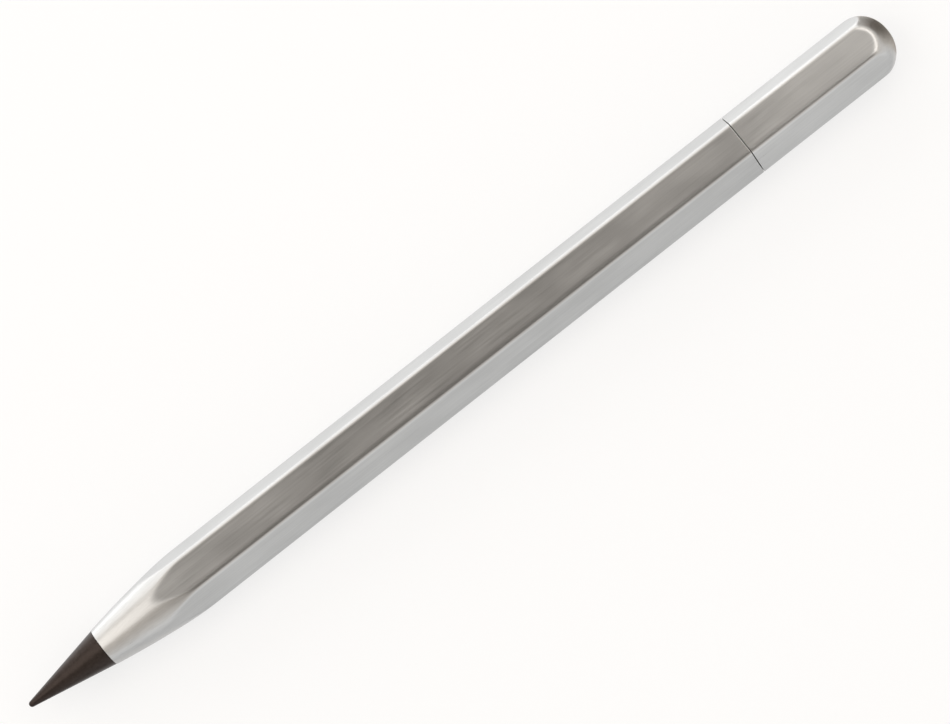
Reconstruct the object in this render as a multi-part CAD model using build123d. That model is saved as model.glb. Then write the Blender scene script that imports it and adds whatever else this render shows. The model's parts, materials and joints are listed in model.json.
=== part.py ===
from build123d import *
import math
import os

# An inkless metal pencil, in millimetres. It lies along X on one facet of its hexagon,
# with the writing point toward -X and the cap toward +X.

# Outside of the barrel and the cap
across_flats = 8.64  # from one facet to the opposite facet
edge_radius = 1.0  # rounding of the long edges, and of the edges where the cap's facets end
barrel_length = 111.5  # from the cone's seat to the seam
cap_length = 25.3
seam_gap = 0.2  # the thin dark line between barrel and cap
seat_diameter = 5.84  # round front end of the nose
nose_run = 27.5  # the nose's curve, from the seat to where it would run level
nose_overrun = 0.36  # height of that level above the hexagon's sharp corners
dome_overrun = 0.31  # the cap's ball-shaped end, in radius, beyond the hexagon's sharp corners

# Writing cone and the threaded stud that holds it
cone_length = 13.0
seat_step = 0.04  # the cone's base stands this far inside the nose's rim
point_radius = 0.45
stud_diameter = 4.0  # M4
stud_length = 7.0
stud_chamfer = 0.4
relief_length = 0.7  # plain neck behind the cone, where the thread runs out
relief_depth = 0.45
anchor_diameter = 2.6  # the stud's other end, bonded into the cone
anchor_length = 5.0

# Bores of the barrel and the cap, both made by one drill
barrel_wall = 1.32  # at the middle of a facet
drill_angle = 118.0
solid_nose = 16.0  # metal left between the seat and the point of the bore
stud_runout = 1.0  # tapped depth beyond the stud
mouth_chamfer = 0.25
edge_break = 0.2  # of the tapped hole
dome_thickness = 3.0  # metal left between the point of the cap's bore and the end
cap_headroom = 1.0  # free length beyond the eraser

# Connector that is bonded into the barrel and carries the cap
insert_length = 14.0
insert_chamfer = 0.4
collar_step = 0.5  # height of the collar above the bore
collar_length = 1.0
spigot_length = 10.0
spigot_chamfer = 0.3
socket_wall = 0.45
socket_floor = 2.0  # between the ring's groove and the socket
ring_thickness = 0.8
ring_width = 1.0
ring_chamfer = 0.2
ring_offset = 1.6  # from the cap's mouth to the middle of the ring
vent_wall = 0.5  # between the ring's groove and the hole through the connector

# Eraser in its metal ferrule
ferrule_wall = 0.25
ferrule_projection = 3.0
eraser_rounding = 1.0

# Clearances, measured on the radius
bond_gap = 0.01
thread_gap = 0.03
cap_gap = 0.04
ring_proud = 0.01  # the squeezed ring above the spigot
ring_side_gap = 0.1

# Radii
axis_height = across_flats / 2
sharp_corner = across_flats / math.sqrt(3)
seat_radius = seat_diameter / 2
cone_radius = seat_radius - seat_step
stud_radius = stud_diameter / 2
anchor_radius = anchor_diameter / 2
bore_radius = axis_height - barrel_wall
insert_radius = bore_radius - bond_gap
collar_radius = bore_radius + collar_step
spigot_radius = bore_radius - cap_gap
socket_radius = spigot_radius - socket_wall
ferrule_radius = socket_radius - bond_gap
eraser_radius = ferrule_radius - ferrule_wall - bond_gap
ring_radius = spigot_radius + ring_proud
groove_radius = ring_radius - ring_thickness
vent_radius = groove_radius - vent_wall

# Places along X
overall_length = cone_length + barrel_length + seam_gap + cap_length
point_x = -overall_length / 2
seat_x = point_x + cone_length
rear_x = seat_x + barrel_length
mouth_x = rear_x + seam_gap
end_x = mouth_x + cap_length
collar_x = mouth_x - collar_length
spigot_end_x = mouth_x + spigot_length
ring_x = mouth_x + ring_offset
groove_half = ring_width / 2 + ring_side_gap
socket_x = ring_x + groove_half + socket_floor
ferrule_end_x = spigot_end_x + ferrule_projection
drill_slope = 1 / math.tan(math.radians(drill_angle / 2))
cap_bore_depth = cap_length - dome_thickness - bore_radius * drill_slope
eraser_end_x = mouth_x + cap_bore_depth - cap_headroom
tolerance = 0.001  # an edge shorter than this along X counts as square to it


def turned(*outline):
    # Solid of revolution about X from the lines and arcs of a closed (x, radius) outline
    return revolve(Plane.XZ * make_face(outline), Axis.X)


def turned_steps(*corners):
    # The same for an outline with straight sides only
    return turned(Polyline(*corners, close=True))


def drilled_hole(mouth, way, *wall):
    # Blind hole along X; way is +1 or -1, wall lists (depth, radius) corners, and a drill point ends it
    depth, radius = wall[-1]
    corners = [(0, 0), *wall, (depth + radius * drill_slope, 0)]
    return turned_steps(*[(mouth + way * inward, out) for inward, out in corners])


def hexagon():
    # Section that lies on a facet
    return RegularPolygon(axis_height, 6, major_radius=False)


def bar(section, start, length):
    return extrude(Plane.YZ.offset(start) * section, length)


def round_facets(body):
    # Rounds every edge of the six facets, apart from the ones across the flat cut end
    facets = body.faces().filter_by(GeomType.PLANE).filter_by(Axis.X, reverse=True)
    edges = {edge for edge in facets.edges() if edge.bounding_box().size.X > tolerance}
    return fillet(edges, edge_radius)


def barrel():
    # Hexagon bar with rounded edges; its front end is turned down, so that each facet ends in a scallop
    section = fillet(hexagon().vertices(), edge_radius)
    level = sharp_corner + nose_overrun
    level_x = seat_x + nose_run
    nose = turned(
        Line((seat_x, 0), (seat_x, seat_radius)),
        TangentArc((level_x, level), (seat_x, seat_radius), tangent=(-1, 0)),
        Polyline((level_x, level), (rear_x, level), (rear_x, 0), (seat_x, 0)),
    )
    body = bar(section, seat_x, barrel_length) & nose
    collar_depth = rear_x - collar_x
    collar_seat = collar_radius + bond_gap
    bore_depth = barrel_length - solid_nose - bore_radius * drill_slope
    bore = drilled_hole(
        rear_x, -1, (0, collar_seat), (collar_depth, collar_seat), (collar_depth, bore_radius),
        (bore_depth, bore_radius),
    )
    tapped = stud_radius + thread_gap
    tapped_hole = drilled_hole(
        seat_x, 1, (0, tapped + edge_break), (edge_break, tapped), (stud_length + stud_runout, tapped)
    )
    return body - bore - tapped_hole


def cap():
    # Hexagon bar with a ball-shaped end, rounded where facets and ball meet, and bored for the eraser
    dome_radius = sharp_corner + dome_overrun
    dome_x = end_x - dome_radius
    dome = turned(
        Polyline((end_x, 0), (mouth_x, 0), (mouth_x, dome_radius), (dome_x, dome_radius)),
        CenterArc((dome_x, 0), dome_radius, 0, 90),
    )
    body = round_facets(bar(hexagon(), mouth_x, cap_length) & dome)
    chamfer_radius = bore_radius + mouth_chamfer
    bore = drilled_hole(
        mouth_x, 1, (0, chamfer_radius), (mouth_chamfer, bore_radius), (cap_bore_depth, bore_radius)
    )
    return body - bore


def writing_cone():
    # Cone with a ball point; the flank is the tangent from the base's rim to that ball
    ball_x = point_x + point_radius
    to_rim = math.atan2(cone_radius, seat_x - ball_x)
    reach = math.hypot(cone_radius, seat_x - ball_x)
    touch = to_rim + math.acos(point_radius / reach)
    touch_point = (ball_x + point_radius * math.cos(touch), point_radius * math.sin(touch))
    body = turned(
        Polyline((point_x, 0), (seat_x, 0), (seat_x, cone_radius), touch_point),
        CenterArc((ball_x, 0), point_radius, math.degrees(touch), 180 - math.degrees(touch)),
    )
    socket = anchor_radius + bond_gap
    return body - drilled_hole(seat_x, -1, (0, socket), (anchor_length, socket))


def tip_stud():
    # Plain M4 stud; its shoulder bears on the cone's base
    neck = stud_radius - relief_depth
    thread_x = seat_x + relief_length
    stud_end_x = seat_x + stud_length
    anchor_end_x = seat_x - anchor_length
    return turned_steps(
        (anchor_end_x, 0), (anchor_end_x, anchor_radius), (seat_x, anchor_radius), (seat_x, neck),
        (thread_x, neck), (thread_x + relief_depth, stud_radius), (stud_end_x - stud_chamfer, stud_radius),
        (stud_end_x, stud_radius - stud_chamfer), (stud_end_x, 0),
    )


def rear_connector():
    # One moulding: insert, stop collar, and a spigot with the ring's groove and the ferrule's socket
    insert_x = collar_x - insert_length
    return turned_steps(
        (insert_x, vent_radius), (insert_x, insert_radius - insert_chamfer),
        (insert_x + insert_chamfer, insert_radius), (collar_x, insert_radius), (collar_x, collar_radius),
        (mouth_x, collar_radius), (mouth_x, spigot_radius), (ring_x - groove_half, spigot_radius),
        (ring_x - groove_half, groove_radius), (ring_x + groove_half, groove_radius),
        (ring_x + groove_half, spigot_radius), (spigot_end_x - spigot_chamfer, spigot_radius),
        (spigot_end_x, spigot_radius - spigot_chamfer), (spigot_end_x, socket_radius),
        (socket_x, socket_radius), (socket_x, vent_radius),
    )


def cap_grip_ring():
    # Flat rubber ring in the spigot's groove, with its outer edges taken off
    front = ring_x - ring_width / 2
    back = ring_x + ring_width / 2
    shoulder = ring_radius - ring_chamfer
    return turned_steps(
        (front, groove_radius), (front, shoulder), (front + ring_chamfer, ring_radius),
        (back - ring_chamfer, ring_radius), (back, shoulder), (back, groove_radius),
    )


def eraser_ferrule():
    # Drawn metal cup that stands in the connector's socket
    inside = ferrule_radius - ferrule_wall
    floor_x = socket_x + ferrule_wall
    return turned_steps(
        (socket_x, 0), (socket_x, ferrule_radius), (ferrule_end_x, ferrule_radius),
        (ferrule_end_x, inside), (floor_x, inside), (floor_x, 0),
    )


def eraser():
    # Plug that stands on the ferrule's floor, with a rounded free end
    floor_x = socket_x + ferrule_wall
    plug = turned_steps(
        (floor_x, 0), (floor_x, eraser_radius), (eraser_end_x, eraser_radius), (eraser_end_x, 0)
    )
    return fillet(plug.edges().group_by(Axis.X)[-1], eraser_rounding)


pieces = [barrel, writing_cone, tip_stud, rear_connector, cap_grip_ring, eraser_ferrule, eraser, cap]
os.makedirs("parts", exist_ok=True)
for piece in pieces:
    solid = Pos(0, 0, axis_height) * piece()
    export_step(solid, f"parts/{piece.__name__}.step")
    print(piece.__name__, round(solid.volume, 2))
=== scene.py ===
import cmath
import json
import math

import bpy
from mathutils import Matrix, Vector


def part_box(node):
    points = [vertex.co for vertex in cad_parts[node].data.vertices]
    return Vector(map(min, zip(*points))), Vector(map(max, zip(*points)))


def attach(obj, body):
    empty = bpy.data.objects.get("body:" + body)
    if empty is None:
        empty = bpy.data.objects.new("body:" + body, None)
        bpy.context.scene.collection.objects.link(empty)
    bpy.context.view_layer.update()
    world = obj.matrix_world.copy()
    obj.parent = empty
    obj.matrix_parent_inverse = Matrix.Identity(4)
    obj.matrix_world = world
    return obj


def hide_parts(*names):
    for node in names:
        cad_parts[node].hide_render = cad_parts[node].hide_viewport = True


# Looks of an inkless metal pencil: satin aluminium bar and cap, graphite alloy cone, eraser under the cap
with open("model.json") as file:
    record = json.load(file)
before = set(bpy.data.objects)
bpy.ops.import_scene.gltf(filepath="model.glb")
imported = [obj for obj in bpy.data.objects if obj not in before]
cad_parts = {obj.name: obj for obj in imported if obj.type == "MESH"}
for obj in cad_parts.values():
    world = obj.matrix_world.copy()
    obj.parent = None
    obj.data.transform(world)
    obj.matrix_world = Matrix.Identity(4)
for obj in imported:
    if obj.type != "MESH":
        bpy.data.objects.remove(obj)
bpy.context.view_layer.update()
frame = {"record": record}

mm = 0.001  # the frame is in metres, and every size below is in millimetres
creaseAngle = 38  # degrees; a sharper corner keeps its hard edge
roundSteps = 96  # points around a turned piece
drillAngle = 118  # degrees, across the drill's point
noiseLow, noiseHigh = 0.3, 0.7  # a noise texture seldom leaves this span
bodyOf = {node: body for body, nodes in frame["record"]["behaviour"]["bodies"].items() for node in nodes}


def spanOf(node):
    low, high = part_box(node)
    return low.x / mm, high.x / mm


seatX, rearX = spanOf("barrel")
mouthX, endX = spanOf("cap")
axisHeight = sum(corner.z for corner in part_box("barrel")) / 2 / mm
print("frame loaded, axis at", round(axisHeight, 3), "mm")


# Mesh tools

def ring(x, radius, angles):
    # One loop of points around the axis; radius is one number, or a list with one for each angle
    radii = radius if isinstance(radius, list) else [radius] * len(angles)
    return [(x, r * math.cos(a), axisHeight + r * math.sin(a)) for r, a in zip(radii, angles)]


def pole(x):
    return [(x, 0, axisHeight)]


def turnedRings(points, angles):
    return [ring(x, r, angles) for x, r in points]


def easeCorners(corners, steps=4):
    # Corners are (x, radius, easing); an eased one becomes a small curve that starts that far from it
    points = []
    for index, (x, r, easing) in enumerate(corners):
        here = complex(x, r)
        if not easing:
            points.append((x, r))
            continue
        before = complex(*corners[index - 1][:2]) - here
        after = complex(*corners[(index + 1) % len(corners)][:2]) - here
        start = here + before / abs(before) * easing
        stop = here + after / abs(after) * easing
        for step in range(steps + 1):
            s = step / steps
            spot = start * (1 - s) ** 2 + here * 2 * s * (1 - s) + stop * s ** 2
            points.append((spot.real, spot.imag))
    return points


def stations(start, stop, step):
    count = max(round(abs(stop - start) / step), 1)
    return [start + (stop - start) * index / count for index in range(count + 1)]


def skin(name, rings, looped=False):
    # Faces between neighbouring rings; a ring of one point closes an end, looped joins last to first
    vertices = []
    starts = []
    for loop in rings:
        starts.append(len(vertices))
        vertices += [(x * mm, y * mm, z * mm) for x, y, z in loop]
    faces = []
    for index in range(len(rings) if looped else len(rings) - 1):
        following = (index + 1) % len(rings)
        first, second = rings[index], rings[following]
        count = max(len(first), len(second))
        for here in range(count):
            there = (here + 1) % count
            corners = [starts[index] + here % len(first), starts[index] + there % len(first),
                       starts[following] + there % len(second), starts[following] + here % len(second)]
            faces.append(list(dict.fromkeys(corners)))
    mesh = bpy.data.meshes.new(name)
    mesh.from_pydata(vertices, [], faces)
    mesh.validate()
    mesh.shade_smooth()
    mesh.set_sharp_from_angle(angle=math.radians(creaseAngle))
    piece = bpy.data.objects.new(name, mesh)
    bpy.context.scene.collection.objects.link(piece)
    flats = piece.modifiers.new("flats keep their shading", "WEIGHTED_NORMAL")
    flats.keep_sharp = True
    return piece


def dress(piece, node, material):
    # The piece stands for a CAD node: it takes its body and its place, and gets its material
    piece.data.materials.append(material)
    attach(piece, bodyOf[node])
    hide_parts(node)
    print(piece.name, len(piece.data.polygons), "faces, rides on", bodyOf[node])


# Material tools

def hexColour(text):
    channels = [int(text[at:at + 2], 16) / 255 for at in (1, 3, 5)]
    linear = [c / 12.92 if c <= 0.04045 else ((c + 0.055) / 1.055) ** 2.4 for c in channels]
    return (*linear, 1)


def addNode(tree, kind, inputs=None, **settings):
    # Inputs are numbers, colours or other nodes' outputs, by socket name or number
    node = tree.nodes.new(kind)
    for name, value in settings.items():
        setattr(node, name, value)
    for socket, value in (inputs or {}).items():
        if isinstance(value, bpy.types.NodeSocket):
            tree.links.new(value, node.inputs[socket])
        else:
            node.inputs[socket].default_value = value
    return node


def newMaterial(name):
    material = bpy.data.materials.new(name)
    material.use_nodes = True
    material.node_tree.nodes.clear()
    return material, material.node_tree


def cells(*sizes):
    # Mapping scale that makes one noise cell this many millimetres long, wide and high
    return [1 / (size * mm) for size in sizes]


def markedMaterial(name, look):
    # Plain material with marks of a real size, which shade its colour and, if they have depth, its relief
    material, tree = newMaterial(name)
    place = addNode(tree, "ShaderNodeTexCoord").outputs["Object"]
    spread = addNode(tree, "ShaderNodeMapping", {"Vector": place, "Scale": cells(*look["mark"])})
    marks = addNode(tree, "ShaderNodeTexNoise", {
        "Vector": spread.outputs[0], "Scale": 1, "Detail": look["detail"]})
    colour = addNode(tree, "ShaderNodeMix", {
        0: marks.outputs["Fac"], 6: hexColour(look["dark"]), 7: hexColour(look["light"])},
        data_type="RGBA")
    shader = addNode(tree, "ShaderNodeBsdfPrincipled", {
        "Base Color": colour.outputs[2], **look["shading"]})
    if look["depth"]:
        bump = addNode(tree, "ShaderNodeBump", {
            "Height": marks.outputs["Fac"], "Strength": 1, "Distance": look["depth"] * mm})
        tree.links.new(bump.outputs[0], shader.inputs["Normal"])
    addNode(tree, "ShaderNodeOutputMaterial", {"Surface": shader.outputs[0]})
    return material


def brushedAluminium(name, look):
    # Aluminium, brushed lengthwise and satin: soft reflections, fine streaks along the bar, and edges
    # that handling has polished
    material, tree = newMaterial(name)
    place = addNode(tree, "ShaderNodeTexCoord").outputs["Object"]
    brushed = addNode(tree, "ShaderNodeMapping", {"Vector": place, "Scale": cells(*look["brushMark"])})
    streaks = addNode(tree, "ShaderNodeTexNoise", {
        "Vector": brushed.outputs[0], "Scale": 1, "Detail": 3, "Roughness": 0.6})
    handled = addNode(tree, "ShaderNodeMapping", {"Vector": place, "Scale": cells(*look["cloud"])})
    clouds = addNode(tree, "ShaderNodeTexNoise", {"Vector": handled.outputs[0], "Scale": 1, "Detail": 4})
    mixed = addNode(tree, "ShaderNodeMix", {
        0: look["cloudShare"], 2: streaks.outputs["Fac"], 3: clouds.outputs["Fac"]}, data_type="FLOAT")
    tone = addNode(tree, "ShaderNodeMapRange", {
        "Value": mixed.outputs[0], "From Min": noiseLow, "From Max": noiseHigh})
    colour = addNode(tree, "ShaderNodeMix", {
        0: tone.outputs[0], 6: hexColour(look["dark"]), 7: hexColour(look["light"])}, data_type="RGBA")
    rough = addNode(tree, "ShaderNodeMapRange", {
        "Value": tone.outputs[0], "To Min": look["rough"][0], "To Max": look["rough"][1]})
    fromAxis = addNode(tree, "ShaderNodeMapping", {
        "Vector": place, "Location": (0, 0, -axisHeight * mm), "Scale": (0, 1, 1)})
    radius = addNode(tree, "ShaderNodeVectorMath", {0: fromAxis.outputs[0]}, operation="LENGTH")
    worn = addNode(tree, "ShaderNodeMapRange", {
        "Value": radius.outputs["Value"], "From Min": look["wornFrom"][0] * mm,
        "From Max": look["wornFrom"][1] * mm, "To Min": rough.outputs[0], "To Max": look["wornRough"]})
    bump = addNode(tree, "ShaderNodeBump", {
        "Height": streaks.outputs["Fac"], "Strength": 1, "Distance": look["markDepth"] * mm})
    shader = addNode(tree, "ShaderNodeBsdfPrincipled", {
        "Base Color": colour.outputs[2], "Metallic": 1, "Roughness": worn.outputs[0],
        "Normal": bump.outputs[0]})
    addNode(tree, "ShaderNodeOutputMaterial", {"Surface": shader.outputs[0]})
    return material


def turnedGraphiteAlloy(look):
    # Graphite alloy, turned on a lathe: near black with a brown cast, a dull metal sheen and faint rings
    material, tree = newMaterial("graphite alloy turned")
    place = addNode(tree, "ShaderNodeTexCoord").outputs["Object"]
    feed = addNode(tree, "ShaderNodeMapping", {"Vector": place, "Scale": cells(*look["toolMark"])})
    rings = addNode(tree, "ShaderNodeTexNoise", {"Vector": feed.outputs[0], "Scale": 1, "Detail": 2})
    grit = addNode(tree, "ShaderNodeMapping", {"Vector": place, "Scale": cells(*look["grain"])})
    grains = addNode(tree, "ShaderNodeTexNoise", {"Vector": grit.outputs[0], "Scale": 1, "Detail": 5})
    tone = addNode(tree, "ShaderNodeMapRange", {
        "Value": grains.outputs["Fac"], "From Min": noiseLow, "From Max": noiseHigh})
    colour = addNode(tree, "ShaderNodeMix", {
        0: tone.outputs[0], 6: hexColour(look["dark"]), 7: hexColour(look["light"])}, data_type="RGBA")
    rough = addNode(tree, "ShaderNodeMapRange", {
        "Value": tone.outputs[0], "To Min": look["rough"][0], "To Max": look["rough"][1]})
    bump = addNode(tree, "ShaderNodeBump", {
        "Height": rings.outputs["Fac"], "Strength": 1, "Distance": look["markDepth"] * mm})
    shader = addNode(tree, "ShaderNodeBsdfPrincipled", {
        "Base Color": colour.outputs[2], "Metallic": 1, "Roughness": rough.outputs[0],
        "Normal": bump.outputs[0]})
    addNode(tree, "ShaderNodeOutputMaterial", {"Surface": shader.outputs[0]})
    return material


# Section of the bar: a hexagon that lies on a facet; its edges are rounded, and ease into the facets
hexagon = {
    "edgeLength": 1.4,  # around the rounding, from facet to facet
    "edgeSteps": 14,
    "facetSteps": 14,
}


def hexagonOutline():
    stride = hexagon["edgeLength"] / hexagon["edgeSteps"]
    edge = [0]
    for step in range(hexagon["edgeSteps"]):
        s = (step + 0.5) / hexagon["edgeSteps"]
        edge.append(edge[-1] + cmath.rect(stride, math.pi / 2 + math.pi / 3 * s * s * (3 - 2 * s)))
    cutBack = abs(edge[-1]) / (2 * math.cos(math.pi / 6))
    halfFacet = axisHeight * math.tan(math.pi / 6) - cutBack
    spots = []
    for side in range(6):
        facing = cmath.rect(1, math.pi / 2 + side * math.pi / 3)
        for step in range(hexagon["facetSteps"]):
            spots.append(facing * complex(axisHeight, halfFacet * (2 * step / hexagon["facetSteps"] - 1)))
        spots += [facing * (complex(axisHeight, halfFacet) + spot) for spot in edge[:-1]]
    return [cmath.phase(spot) for spot in spots], [abs(spot) for spot in spots]


hexAngles, hexRadii = hexagonOutline()
sharpCorner = axisHeight / math.cos(math.pi / 6)
roundAngles = [2 * math.pi * step / roundSteps for step in range(roundSteps)]


def softLower(first, second, softness):
    # The lower of two heights, eased where they cross
    near = max(softness - abs(first - second), 0)
    return min(first, second) - near ** 2 / (4 * softness)


def roundedRim(x, way, size, steps=4):
    # Broken edge at a cut end of the bar, from the facets round to the end face
    rings = [ring(x - way * 4 * size, hexRadii, hexAngles)]  # a plain ring that leads in
    for step in range(steps + 1):
        bend = math.pi / 2 * step / steps
        lower = size * (1 - math.cos(bend))
        inset = size * (1 - math.sin(bend))
        rings.append(ring(x - way * inset, [r - lower for r in hexRadii], hexAngles))
    return rings


# M4 thread of the cone's stud, and of the hole in the nose
thread = {
    "pitch": 0.7,
    "crest": 2.0,
    "root": 1.57,
    "gap": 0.03,
    "rootFlat": 0.15,  # as a share of half a pitch, and the crest's flat is as wide
    "flank": 0.7,
    "stepsPerTurn": 7,
}


def threadRadius(x, angle):
    # Right-hand thread with flats at crest and root
    place = ((x - seatX) / thread["pitch"] - angle / (2 * math.pi)) % 1
    height = min(max((abs(2 * place - 1) - thread["rootFlat"]) / thread["flank"], 0), 1)
    return thread["root"] + (thread["crest"] - thread["root"]) * height


threadStep = thread["pitch"] / thread["stepsPerTurn"]
drillSlope = 1 / math.tan(math.radians(drillAngle / 2))  # depth of the point for each unit of its radius

# Barrel: hexagon bar with a turned nose, which ends each facet in a scallop
barrelShape = {
    "seatRadius": 2.92,
    "noseRun": 27.5,  # from the seat to where the nose's curve would run level
    "noseOverrun": 0.36,  # height of that level above the sharp corners
    "scallopSoftness": 0.1,
    "noseShown": 21.0,  # length that is stepped finely
    "noseStep": 0.2,
    "plainStep": 3.0,
    "frontEasing": 0.06,
    "rimBreak": 0.03,
    "seamReach": 0.08,  # brings the rim toward the cap, so that the seam shows as thin as it does
    "holeDepth": 8.0,
    "holeBreak": 0.2,
    "collarSeat": 3.51,
    "collarDepth": 0.8,
    "boreRadius": 3.0,
    "solidNose": 16.0,
}


def noseRadius(x):
    level = sharpCorner + barrelShape["noseOverrun"]
    rise = level - barrelShape["seatRadius"]
    bend = (barrelShape["noseRun"] ** 2 + rise ** 2) / (2 * rise)
    short = max(seatX + barrelShape["noseRun"] - x, 0)
    return level - bend + math.sqrt(bend ** 2 - short ** 2)


def barrelSkin(x):
    soft = barrelShape["scallopSoftness"]
    return ring(x, [softLower(side, noseRadius(x), soft) for side in hexRadii], hexAngles)


def tappedHole():
    bottom = seatX + barrelShape["holeDepth"]
    rings = [pole(bottom + thread["root"] * drillSlope)]
    for x in stations(bottom, seatX, threadStep):
        entry = thread["crest"] + thread["gap"] + barrelShape["holeBreak"] - (x - seatX)
        radii = [max(threadRadius(x, a) + thread["gap"], entry) for a in hexAngles]
        rings.append(ring(x, radii, hexAngles))
    return rings


def makeBarrel():
    easing = barrelShape["frontEasing"]
    front = easeCorners([
        (seatX, barrelShape["seatRadius"] - 2 * easing, 0),
        (seatX, barrelShape["seatRadius"], easing),
        (seatX + 2 * easing, noseRadius(seatX + 2 * easing), 0),
    ])
    noseEnd = seatX + barrelShape["noseShown"]
    rings = tappedHole() + turnedRings(front, hexAngles)
    rings += [barrelSkin(x) for x in stations(seatX + 3 * easing, noseEnd, barrelShape["noseStep"])]
    rimX = rearX + barrelShape["seamReach"]
    rings += [barrelSkin(x) for x in stations(noseEnd, rimX, barrelShape["plainStep"])[1:-1]]
    rings += roundedRim(rimX, 1, barrelShape["rimBreak"])
    stepX = rearX - barrelShape["collarDepth"]
    boreTip = seatX + barrelShape["solidNose"]
    boreEnd = boreTip + barrelShape["boreRadius"] * drillSlope
    bore = [(rimX, barrelShape["collarSeat"]), (stepX, barrelShape["collarSeat"]),
            (stepX, barrelShape["boreRadius"]), (boreEnd, barrelShape["boreRadius"])]
    return skin("barrel_bar", rings + turnedRings(bore, hexAngles) + [pole(boreTip)])


barrelLook = {
    "brushMark": (14.0, 0.24, 0.24),  # real marks are about 0.03 mm wide; drawn wider, so that they show
    "cloud": (9.0, 3.0, 3.0),
    "cloudShare": 0.45,
    "dark": "#B2B2B1",
    "light": "#C3C3C2",
    "rough": (0.27, 0.35),
    "wornFrom": (4.62, 4.74),  # distance from the axis at which the edges begin to be polished, and are
    "wornRough": 0.285,
    "markDepth": 0.004,
}
barrelMetal = brushedAluminium("aluminium brushed satin barrel", barrelLook)
dress(makeBarrel(), "barrel", barrelMetal)

# Cap: the same bar with a domed end, bored to slide over the eraser
capShape = {
    "domeLength": 5.41,
    "domeRadius": 5.05,
    "domePower": 2.2,  # 2 would be an ellipse; a little more gives the flatter crown
    "domeSoftness": 0.2,
    "domeSteps": 56,
    "plainStep": 2.5,
    "rimBreak": 0.03,
    "boreRadius": 3.0,
    "mouthChamfer": 0.25,
    "boreDepth": 20.5,
}


def domeRadius(depth):
    short = max(1 - depth / capShape["domeLength"], 0)
    return capShape["domeRadius"] * (1 - short ** capShape["domePower"]) ** (1 / capShape["domePower"])


def capSkin(x):
    soft = capShape["domeSoftness"]
    return ring(x, [softLower(side, domeRadius(endX - x), soft) for side in hexRadii], hexAngles)


def makeCap():
    boreEnd = mouthX + capShape["boreDepth"]
    radius, chamfer = capShape["boreRadius"], capShape["mouthChamfer"]
    bore = [(boreEnd, radius), (mouthX + chamfer, radius), (mouthX, radius + chamfer)]
    rings = [pole(boreEnd + radius * drillSlope)] + turnedRings(bore, hexAngles)
    rings += roundedRim(mouthX, -1, capShape["rimBreak"])[::-1]
    domeStart = endX - capShape["domeLength"]
    rings += [capSkin(x) for x in stations(mouthX, domeStart, capShape["plainStep"])[1:-1]]
    for step in range(capShape["domeSteps"]):
        bend = math.pi / 2 * step / capShape["domeSteps"]
        rings.append(capSkin(domeStart + capShape["domeLength"] * math.sin(bend)))
    return skin("cap_shell", rings + [pole(endX)])


# The cap's copy of the barrel's aluminium is set lighter: painted light that brightens the cap
capLook = dict(barrelLook, dark="#B8B8B7", light="#C9C9C8")
capMetal = brushedAluminium("aluminium brushed satin cap", capLook)
dress(makeCap(), "cap", capMetal)

# Writing cone with a blunt ball point, seated on the nose
coneShape = {
    "baseRadius": 2.88,
    "pointRadius": 0.45,
    "pointSteps": 10,
    "flankStep": 0.6,
    "baseEasing": 0.06,
    "socketRadius": 1.31,
    "socketDepth": 5.0,
}


def makeCone():
    pointX = spanOf("writing_cone")[0]
    ballX = pointX + coneShape["pointRadius"]
    toRim = complex(seatX - ballX, coneShape["baseRadius"])
    touch = cmath.phase(toRim) + math.acos(coneShape["pointRadius"] / abs(toRim))
    rings = [pole(pointX)]
    for step in range(1, coneShape["pointSteps"] + 1):
        turn = math.pi + (touch - math.pi) * step / coneShape["pointSteps"]
        spot = cmath.rect(coneShape["pointRadius"], turn)
        rings.append(ring(ballX + spot.real, spot.imag, roundAngles))
    touchX, touchRadius = ballX + spot.real, spot.imag
    slope = (coneShape["baseRadius"] - touchRadius) / (seatX - touchX)
    flank = stations(touchX, seatX - 3 * coneShape["baseEasing"], coneShape["flankStep"])[1:]
    rings += [ring(x, touchRadius + slope * (x - touchX), roundAngles) for x in flank]
    socketEnd = seatX - coneShape["socketDepth"]
    base = easeCorners([
        (flank[-1], touchRadius + slope * (flank[-1] - touchX), 0),
        (seatX, coneShape["baseRadius"], coneShape["baseEasing"]),
        (seatX, coneShape["socketRadius"], 0),
        (socketEnd, coneShape["socketRadius"], 0),
    ])
    rings += turnedRings(base[1:], roundAngles)
    return skin("graphite_cone", rings + [pole(socketEnd - coneShape["socketRadius"] * drillSlope)])


coneLook = {
    "toolMark": (0.3, 40.0, 40.0),  # turning marks, drawn wider than the real 0.05 mm feed
    "grain": (0.5, 0.5, 0.5),
    "dark": "#332D2A",
    "light": "#3C3532",
    "rough": (0.28, 0.36),
    "markDepth": 0.004,
}
dress(makeCone(), "writing_cone", turnedGraphiteAlloy(coneLook))

# Threaded brass stud, bonded into the cone
studShape = {
    "anchorRadius": 1.3,
    "neckRadius": 1.55,
    "neckLength": 0.7,
    "chamfer": 0.4,
}


def makeStud():
    anchorX, studEnd = spanOf("tip_stud")
    threadX = seatX + studShape["neckLength"]
    shank = [(anchorX, studShape["anchorRadius"]), (seatX, studShape["anchorRadius"]),
             (seatX, studShape["neckRadius"])]
    rings = [pole(anchorX)] + turnedRings(shank, roundAngles)
    for x in stations(threadX, studEnd, threadStep):
        runIn = studShape["neckRadius"] + x - threadX
        runOut = thread["crest"] - studShape["chamfer"] + studEnd - x
        radii = [min(threadRadius(x, a), runIn, runOut) for a in roundAngles]
        rings.append(ring(x, radii, roundAngles))
    return skin("threaded_stud", rings + [pole(studEnd)])


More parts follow.
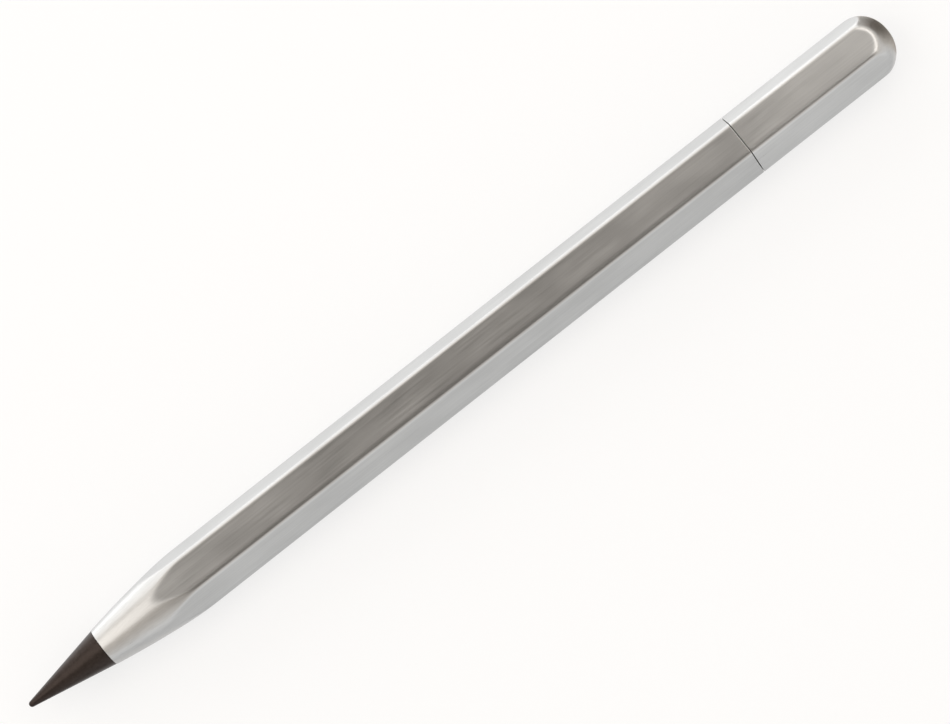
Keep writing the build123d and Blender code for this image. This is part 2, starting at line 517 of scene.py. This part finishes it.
# Brass, turned and threaded: warm yellow metal with the fine rings of the cutter
studLook = {
    "mark": (0.12, 30.0, 30.0),  # turning marks, drawn wider than the real 0.05 mm feed
    "detail": 2,
    "dark": "#B08D4A",
    "light": "#C9A65E",
    "depth": 0.003,
    "shading": {"Metallic": 1, "Roughness": 0.28},
}
dress(makeStud(), "tip_stud", markedMaterial("brass turned", studLook))

# Connector: plastic insert in the barrel, a collar that shows as the seam, and the spigot for the cap
connectorShape = {
    "ventRadius": 1.67,
    "insertRadius": 2.99,
    "insertChamfer": 0.4,
    "collarRadius": 3.5,
    "collarLength": 1.0,
    "spigotRadius": 2.96,
    "spigotChamfer": 0.3,
    "socketRadius": 2.51,
    "grooveRadius": 2.17,
    "grooveMargin": 0.1,
    "socketFloor": 2.0,
    "easing": 0.08,
}


def makeConnector():
    shape = connectorShape
    insertX, spigotEnd = spanOf("rear_connector")
    ringStart, ringStop = spanOf("cap_grip_ring")
    grooveStart, grooveStop = ringStart - shape["grooveMargin"], ringStop + shape["grooveMargin"]
    collarX = mouthX - shape["collarLength"]
    socketX = grooveStop + shape["socketFloor"]
    ease = shape["easing"]
    profile = easeCorners([
        (insertX, shape["ventRadius"], ease),
        (insertX, shape["insertRadius"] - shape["insertChamfer"], ease),
        (insertX + shape["insertChamfer"], shape["insertRadius"], ease),
        (collarX, shape["insertRadius"], 0),
        (collarX, shape["collarRadius"], ease),
        (mouthX, shape["collarRadius"], ease),
        (mouthX, shape["spigotRadius"], 0),
        (grooveStart, shape["spigotRadius"], ease),
        (grooveStart, shape["grooveRadius"], 0),
        (grooveStop, shape["grooveRadius"], 0),
        (grooveStop, shape["spigotRadius"], ease),
        (spigotEnd - shape["spigotChamfer"], shape["spigotRadius"], ease),
        (spigotEnd, shape["spigotRadius"] - shape["spigotChamfer"], ease),
        (spigotEnd, shape["socketRadius"], 0),
        (socketX, shape["socketRadius"], 0),
        (socketX, shape["ventRadius"], ease),
    ])
    return skin("moulded_connector", turnedRings(profile, roundAngles), looped=True)


# Acetal, injection moulded: deep black with a dull gloss and the fine skin of a spark-finished mould
connectorLook = {
    "mark": (0.09, 0.09, 0.09),  # the mould's grain, drawn wider than the real 0.03 mm
    "detail": 2,
    "dark": "#141416",
    "light": "#1E1E20",
    "depth": 0.004,
    "shading": {"Roughness": 0.42, "IOR": 1.48},
}
dress(makeConnector(), "rear_connector", markedMaterial("acetal moulded black", connectorLook))

# Rubber ring in the spigot's groove
ringShape = {"innerRadius": 2.17, "outerRadius": 2.97, "innerEasing": 0.1, "outerEasing": 0.34}


def makeGripRing():
    start, stop = spanOf("cap_grip_ring")
    inner = ringShape["innerRadius"], ringShape["innerEasing"]
    outer = ringShape["outerRadius"], ringShape["outerEasing"]
    profile = easeCorners([(start, *inner), (start, *outer), (stop, *outer), (stop, *inner)], steps=6)
    return skin("grip_ring", turnedRings(profile, roundAngles), looped=True)


# Nitrile rubber, moulded: matt charcoal that scatters light at grazing angles
ringLook = {
    "mark": (0.4, 0.4, 0.4),  # patches of bloom
    "detail": 3,
    "dark": "#1A1A1B",
    "light": "#262627",
    "depth": 0,
    "shading": {"Roughness": 0.68, "IOR": 1.52, "Sheen Weight": 0.15},
}
dress(makeGripRing(), "cap_grip_ring", markedMaterial("nitrile rubber moulded", ringLook))

# Drawn cup that holds the eraser, with two rolled grooves on the part that shows
ferruleShape = {
    "outerRadius": 2.5,
    "wall": 0.25,
    "floorEasing": 0.2,
    "shown": 3.0,
    "shownStep": 0.06,
    "grooveDepth": 0.1,
    "grooveWidth": 0.2,
    "grooves": (0.9, 1.9),  # from the rim
    "rimEasing": 0.1,
}


def makeFerrule():
    shape = ferruleShape
    floorX, rimX = spanOf("eraser_ferrule")
    inside = shape["outerRadius"] - shape["wall"]
    shownX = rimX - shape["shown"]
    cup = easeCorners([
        (floorX, 0, 0), (floorX, shape["outerRadius"], shape["floorEasing"]),
        (shownX, shape["outerRadius"], 0)])
    rings = [pole(floorX)] + turnedRings(cup[1:], roundAngles)
    for x in stations(shownX, rimX - 2 * shape["rimEasing"], shape["shownStep"])[1:]:
        dips = sum(math.exp(-((rimX - x - at) / shape["grooveWidth"]) ** 2) for at in shape["grooves"])
        rings.append(ring(x, shape["outerRadius"] - shape["grooveDepth"] * dips, roundAngles))
    rim = easeCorners([
        (rimX - 2 * shape["rimEasing"], shape["outerRadius"], 0),
        (rimX, shape["outerRadius"], shape["rimEasing"]), (rimX, inside, shape["rimEasing"]),
        (floorX + shape["wall"], inside, 0)])
    rings += turnedRings(rim[1:], roundAngles)
    return skin("drawn_ferrule", rings + [pole(floorX + shape["wall"])])


# Aluminium, deep drawn and bright: clear reflections with faint draw lines along the cup
ferruleLook = {
    "mark": (6.0, 0.15, 0.15),  # draw lines, drawn wider than the real 0.05 mm
    "detail": 2,
    "dark": "#D2D2D2",
    "light": "#E2E2E1",
    "depth": 0.002,
    "shading": {"Metallic": 1, "Roughness": 0.2},
}
dress(makeFerrule(), "eraser_ferrule", markedMaterial("aluminium drawn bright", ferruleLook))

# Eraser plug; it swells a little above the ferrule's rim
eraserShape = {
    "radius": 2.24,
    "seatEasing": 0.1,  # at the ferrule's floor and rim
    "swell": 0.07,
    "swellRun": 0.4,
    "swellEasing": 0.2,
    "endEasing": 1.1,
    "crown": 0.12,
}


def makeEraser():
    shape = eraserShape
    floorX, freeX = spanOf("eraser")
    rimX = spanOf("eraser_ferrule")[1]
    wide = shape["radius"] + shape["swell"]
    profile = easeCorners([
        (floorX, 0, 0),
        (floorX, shape["radius"], shape["seatEasing"]),
        (rimX, shape["radius"], shape["seatEasing"]),
        (rimX + shape["swellRun"], wide, shape["swellEasing"]),
        (freeX - shape["crown"], wide, shape["endEasing"]),
        (freeX, 0, 0),
    ], steps=8)
    return skin("eraser_plug", [pole(floorX)] + turnedRings(profile[1:-1], roundAngles) + [pole(freeX)])


# Vinyl, extruded and cut: chalky white that lets a little light in, with a dusty uneven skin
eraserLook = {
    "mark": (0.35, 0.35, 0.35),  # crumbs of dust
    "detail": 4,
    "dark": "#DEDAD2",
    "light": "#ECE9E3",
    "depth": 0.02,
    "shading": {"Roughness": 0.72, "IOR": 1.5, "Subsurface Weight": 0.12, "Subsurface Scale": 0.6 * mm},
}
dress(makeEraser(), "eraser", markedMaterial("vinyl extruded white", eraserLook))

# Pale floor; to the eye and in reflections part of it is plain white, and the rest keeps the shadow
floorLook = {"size": 4000.0, "drop": 0.02, "paper": "#F3F3F3", "whiteShare": 0.7}


def makeFloor():
    half = floorLook["size"] / 2 * mm
    z = -floorLook["drop"] * mm
    mesh = bpy.data.meshes.new("paper_floor")
    corners = [(-half, -half, z), (half, -half, z), (half, half, z), (-half, half, z)]
    mesh.from_pydata(corners, [], [(0, 1, 2, 3)])
    floor = bpy.data.objects.new("paper_floor", mesh)
    bpy.context.scene.collection.objects.link(floor)
    material, tree = newMaterial("paper matt white")
    rays = addNode(tree, "ShaderNodeLightPath")
    shown = addNode(tree, "ShaderNodeMath", {
        0: rays.outputs["Is Camera Ray"], 1: rays.outputs["Is Glossy Ray"]}, operation="MAXIMUM")
    shown = addNode(tree, "ShaderNodeMath", {
        0: shown.outputs[0], 1: rays.outputs["Is Transmission Ray"]}, operation="MAXIMUM")
    share = addNode(tree, "ShaderNodeMath", {
        0: shown.outputs[0], 1: floorLook["whiteShare"]}, operation="MULTIPLY")
    paper = addNode(tree, "ShaderNodeBsdfDiffuse", {"Color": hexColour(floorLook["paper"])})
    white = addNode(tree, "ShaderNodeEmission", {"Color": (1, 1, 1, 1), "Strength": 1})
    both = addNode(tree, "ShaderNodeMixShader", {
        0: share.outputs[0], 1: paper.outputs[0], 2: white.outputs[0]})
    addNode(tree, "ShaderNodeOutputMaterial", {"Surface": both.outputs[0]})
    mesh.materials.append(material)


makeFloor()

# Cards on the floor, shown only by reflections, paint reflections into the metal. The dark one beyond
# the cap paints the dome's dark side. The light one along the far side glows and paints highlights on the
# facets, edges and nose. The grey one along the near side glows faintly and paints shade on the facets.
# Rows are a card's edges and folds, from the one beside the pencil outward; tones go by the place across
# the pencil, and the glow by the place along it
cards = {
    "dark_reflection_card": {
        "rows": (((73.7, -2.2, 0), (71.8, 3.6, 0)), ((86.5, -9.0, 0), (75.4, 9.6, 0)),
                 ((86.5, -9.0, 11.0), (75.4, 9.6, 9.8))),
        "tones": {-9.0: "#FFFFFF", -3.0: "#CECAC5", 1.5: "#87817A", 4.5: "#847D76", 9.6: "#FFFFFF"},
        "glow": None,
    },
    "glowing_reflection_card": {
        "rows": (((-150, 7, -0.01), (80, 7, -0.01)), ((-170, 120, -0.01), (220, 120, -0.01))),
        "tones": {7: "#B3B3B3", 11: "#BBBBBB", 17: "#CCCCCC", 28: "#E8E8E8", 50: "#FFFFFF",
                  120: "#FFFFFF"},
        "glow": {-85: 3.6, -56: 2.4},
    },
    "grey_reflection_card": {
        "rows": (((-52, -7, -0.01), (95, -7, -0.01)), ((-170, -60, -0.01), (150, -60, -0.01)),
                 ((-170, -60, 17), (150, -60, 17))),
        "tones": {-60.0: "#FFFFFF", -44.0: "#EFEFEF", -30.0: "#DEDEDE", -7.0: "#DEDEDE"},
        "glow": {-100: 1.16, 100: 1.16},
    },
}


def makeCard(name, look):
    corners = [[side * mm for side in corner] for row in look["rows"] for corner in row]
    mesh = bpy.data.meshes.new(name)
    mesh.from_pydata(corners, [], [(at, at + 1, at + 3, at + 2) for at in range(0, len(corners) - 2, 2)])
    card = bpy.data.objects.new(name, mesh)
    bpy.context.scene.collection.objects.link(card)
    material, tree = newMaterial(name.replace("_", " ") + " matt")
    here = addNode(tree, "ShaderNodeTexCoord").outputs["Object"]
    place = addNode(tree, "ShaderNodeSeparateXYZ", {0: here})
    first, last = min(look["tones"]), max(look["tones"])
    across = addNode(tree, "ShaderNodeMapRange", {
        "Value": place.outputs["Y"], "From Min": first * mm, "From Max": last * mm})
    tones = addNode(tree, "ShaderNodeValToRGB", {0: across.outputs[0]})
    stops = tones.color_ramp.elements
    for index, (at, tone) in enumerate(look["tones"].items()):
        spot = stops[index] if index < 2 else stops.new(1)
        spot.position = (at - first) / (last - first)
        spot.color = hexColour(tone)
    if look["glow"]:
        (start, startGlow), (stop, stopGlow) = look["glow"].items()
        glow = addNode(tree, "ShaderNodeMapRange", {
            "Value": place.outputs["X"], "From Min": start * mm, "From Max": stop * mm,
            "To Min": startGlow, "To Max": stopGlow})
        # A glowing card is no lamp: its glow is painted light, seen only in the metal's reflections
        surface = addNode(tree, "ShaderNodeEmission", {
            "Color": tones.outputs[0], "Strength": glow.outputs[0]})
    else:
        # The dark card is lit like a plain surface and paints a dark reflection
        surface = addNode(tree, "ShaderNodeBsdfDiffuse", {"Color": tones.outputs[0]})
    addNode(tree, "ShaderNodeOutputMaterial", {"Surface": surface.outputs[0]})
    mesh.materials.append(material)
    # Hidden from the camera, from diffuse light and from shadows, so the cards are only painted
    # reflections
    card.visible_camera = card.visible_diffuse = card.visible_shadow = False


for name, look in cards.items():
    makeCard(name, look)

# Soft studio light; a brightness of 1 is white
softboxes = {
    "key": {
        "toward": (-0.1, 0.93, 0.35), "aside": 0, "size": (900, 430),
        "brightness": 0.85, "tint": "#FDFDFD"},
    "point side": {
        "toward": (-0.48, 0, 0.88), "aside": 130, "size": (500, 290),
        "brightness": 1.18, "tint": "#FFFDFA"},
    "cap side": {
        "toward": (0.48, 0, 0.88), "aside": 50, "size": (660, 290),
        "brightness": 1.25, "tint": "#FFFDFA"},
}
studio = {
    "lampDistance": 600,
    "horizon": 1.0,
    "band": 0.7,
    "sides": 0.97,
    "overhead": 0.05,
    "gap": (0.05, 0.42),  # how far the dark overhead reaches along the pencil
    "gapEnd": (-0.9, -0.68),  # and across it, toward the near side
    "gapKey": (0.36, 0.62),  # and toward the key
    "horizonTint": "#FDFDFC",
    "overheadTint": "#FFF3E6",
}


def makeLights():
    middle = Vector((0, 0, axisHeight * mm))
    for name, box in softboxes.items():
        lamp = bpy.data.lights.new(name + " softbox", "AREA")
        lamp.shape = "RECTANGLE"
        lamp.size, lamp.size_y = [side * mm for side in box["size"]]
        lamp.energy = box["brightness"] * math.pi * lamp.size * lamp.size_y
        lamp.color = hexColour(box["tint"])[:3]
        light = bpy.data.objects.new(lamp.name, lamp)
        toward = Vector(box["toward"]).normalized()
        light.location = middle + (toward * studio["lampDistance"] + Vector((0, box["aside"], 0))) * mm
        light.rotation_euler = toward.to_track_quat("Z", "Y").to_euler()
        light.visible_camera = False
        bpy.context.scene.collection.objects.link(light)
    world = bpy.data.worlds.new("studio")
    world.use_nodes = True
    tree = world.node_tree
    tree.nodes.clear()
    direction = addNode(tree, "ShaderNodeTexCoord").outputs["Generated"]
    height = addNode(tree, "ShaderNodeSeparateXYZ", {0: direction})
    along = addNode(tree, "ShaderNodeMath", {0: height.outputs["X"]}, operation="ABSOLUTE")
    dark = addNode(tree, "ShaderNodeMapRange", {
        "Value": height.outputs["Y"], "From Min": studio["gapEnd"][0], "From Max": studio["gapEnd"][1],
        "To Min": studio["sides"], "To Max": studio["overhead"]}, interpolation_type="SMOOTHSTEP")
    lifted = addNode(tree, "ShaderNodeMapRange", {
        "Value": height.outputs["Y"], "From Min": studio["gapKey"][0], "From Max": studio["gapKey"][1],
        "To Min": dark.outputs[0], "To Max": studio["sides"]})
    roof = addNode(tree, "ShaderNodeMapRange", {
        "Value": along.outputs[0], "From Min": studio["gap"][0], "From Max": studio["gap"][1],
        "To Min": lifted.outputs[0], "To Max": studio["sides"]}, interpolation_type="SMOOTHSTEP")
    level = addNode(tree, "ShaderNodeMapRange", {
        "Value": height.outputs["Z"], "From Min": 0, "From Max": studio["band"],
        "To Min": studio["horizon"], "To Max": roof.outputs[0]}, interpolation_type="SMOOTHSTEP")
    tint = addNode(tree, "ShaderNodeMix", {
        0: height.outputs["Z"], 6: hexColour(studio["horizonTint"]),
        7: hexColour(studio["overheadTint"])}, data_type="RGBA")
    sky = addNode(tree, "ShaderNodeBackground", {"Color": tint.outputs[2], "Strength": level.outputs[0]})
    addNode(tree, "ShaderNodeOutputWorld", {"Surface": sky.outputs[0]})
    bpy.context.scene.world = world


makeLights()
print("floor, cards and lights set")

# Camera: above the pencil, leaning to its near side, and turned so that the cap points up and right
view = {
    "tilt": 12.3,
    "rise": 38.19,
    "lens": 180,
    "sensor": 36,
    "imageWidth": 950,
    "pixelsPerMm": 7.279,
    "aimAlong": 2.29,
    "aimAcross": -0.71,
}


def makeCamera():
    tilt, rise = math.radians(view["tilt"]), math.radians(view["rise"])
    along = Vector((1, 0, 0))
    across = Vector((0, math.cos(tilt), math.sin(tilt)))
    back = Vector((0, -math.sin(tilt), math.cos(tilt)))
    right = along * math.cos(rise) - across * math.sin(rise)
    up = along * math.sin(rise) + across * math.cos(rise)
    aim = along * view["aimAlong"] + across * view["aimAcross"] + Vector((0, 0, axisHeight))
    away = view["lens"] / view["sensor"] * view["imageWidth"] / view["pixelsPerMm"]
    data = bpy.data.cameras.new("camera")
    data.lens = view["lens"]
    data.sensor_width = view["sensor"]
    data.sensor_fit = "HORIZONTAL"
    camera = bpy.data.objects.new("camera", data)
    turn = Matrix((right, up, back)).transposed().to_4x4()
    camera.matrix_world = Matrix.Translation((aim + back * away) * mm) @ turn
    bpy.context.scene.collection.objects.link(camera)
    bpy.context.scene.camera = camera


makeCamera()
bpy.context.scene.view_settings.view_transform = "Standard"
